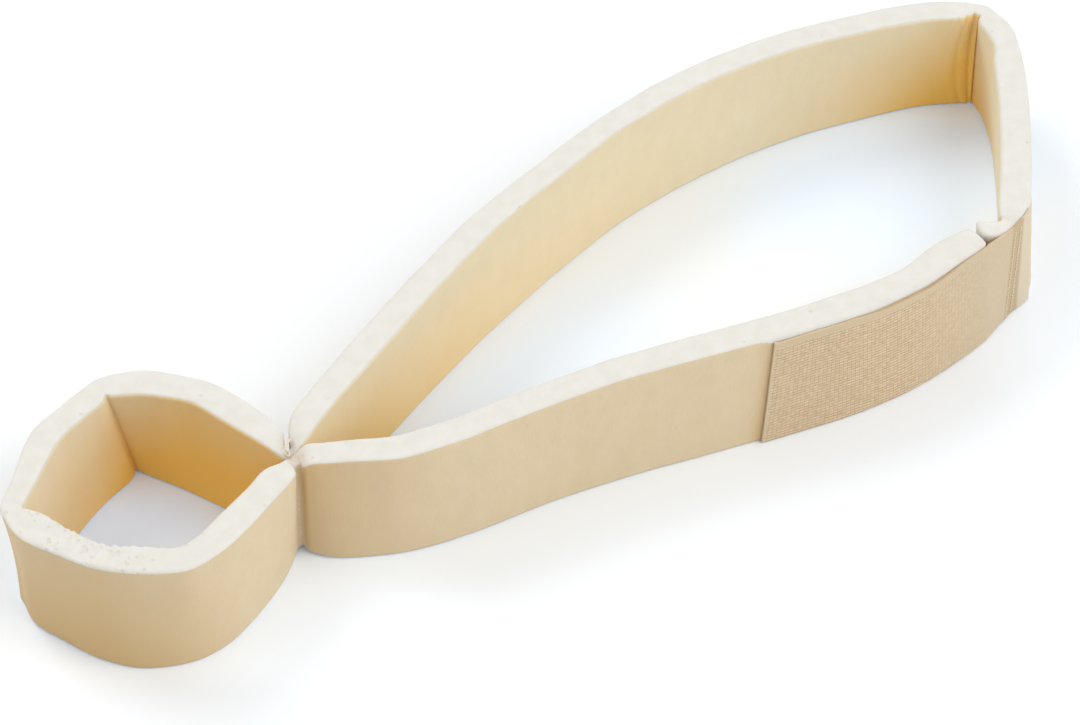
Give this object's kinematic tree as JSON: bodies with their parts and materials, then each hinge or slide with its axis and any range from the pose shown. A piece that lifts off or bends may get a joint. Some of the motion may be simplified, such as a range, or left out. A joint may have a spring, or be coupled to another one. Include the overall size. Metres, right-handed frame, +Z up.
{
  "type": "collar-and-cuff arm sling",
  "caption": "Soft foam collar-and-cuff sling: a cloth-faced strip sewn at a waist into a small wrist loop and a wide neck loop, closed by a hook tab.",
  "frame": {"origin": "centre of the bounding box, on the surface that the sling stands on", "axes": "+X from the wrist loop through the waist to the closure, +Z up across the width of the strip"},
  "size_m": [0.4766, 0.1614, 0.0498],
  "materials": {
    "foam": "matte",
    "facing": "matte",
    "hook_tape": "matte"
  },
  "bodies": {
    "root": {"foam_core": "foam", "outer_facing": "facing", "inner_facing": "facing", "hook_tab": "hook_tape"}
  },
  "joints": []
}
